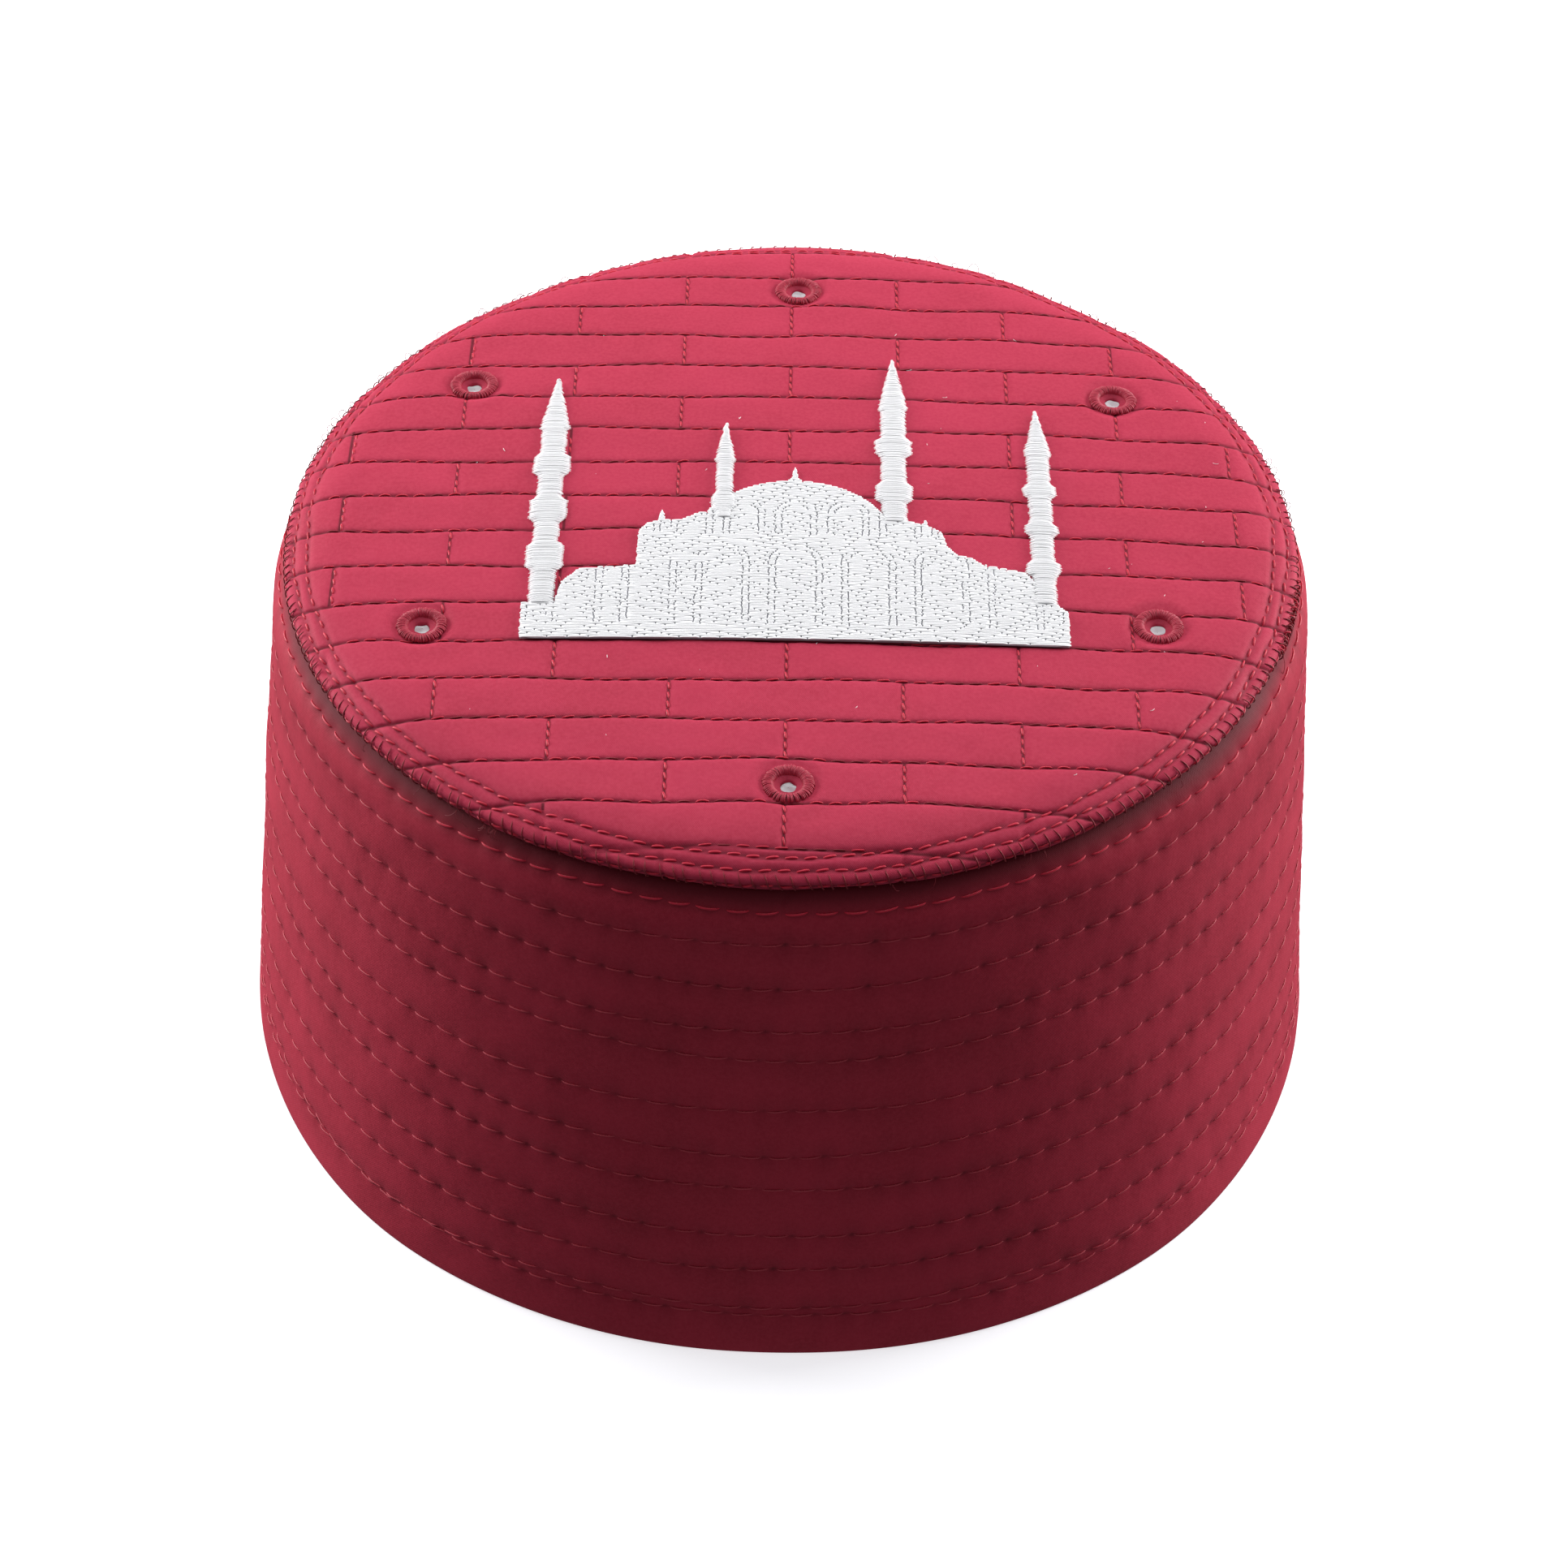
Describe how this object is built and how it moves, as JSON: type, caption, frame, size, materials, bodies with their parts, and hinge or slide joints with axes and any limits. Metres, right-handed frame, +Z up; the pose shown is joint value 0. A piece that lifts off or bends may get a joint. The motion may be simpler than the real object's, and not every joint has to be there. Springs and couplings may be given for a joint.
{
  "type": "turban cap",
  "caption": "Short stiff round cap with a padded, brick-quilted crown, embroidered eyelets, a white mosque silhouette and a side wall stitched in rows.",
  "frame": {"origin": "centre of the hem's lower face, on the surface that the cap stands on", "axes": "+Z up through the middle of the crown; -Y is the front, where the foot of the embroidered figure faces; +X is the cap's right seen from the front"},
  "size_m": [0.193, 0.193, 0.1065],
  "materials": {
    "crown_cloth": "matte satin weave, dark red, padded and quilted",
    "wall_cloth": "matte satin weave, dark red, stitched in rows over stiff padding",
    "red_thread": "dark red embroidery thread, slight sheen",
    "white_thread": "white embroidery thread, slight sheen",
    "lining_cloth": "plain pale cotton"
  },
  "bodies": {
    "root": {"side_wall": "wall_cloth", "crown": "crown_cloth", "crown_lining": "lining_cloth", "mosque_embroidery": "white_thread", "eyelet_back": "red_thread", "eyelet_back_left": "red_thread", "eyelet_front_left": "red_thread", "eyelet_front": "red_thread", "eyelet_front_right": "red_thread", "eyelet_back_right": "red_thread"}
  },
  "joints": []
}
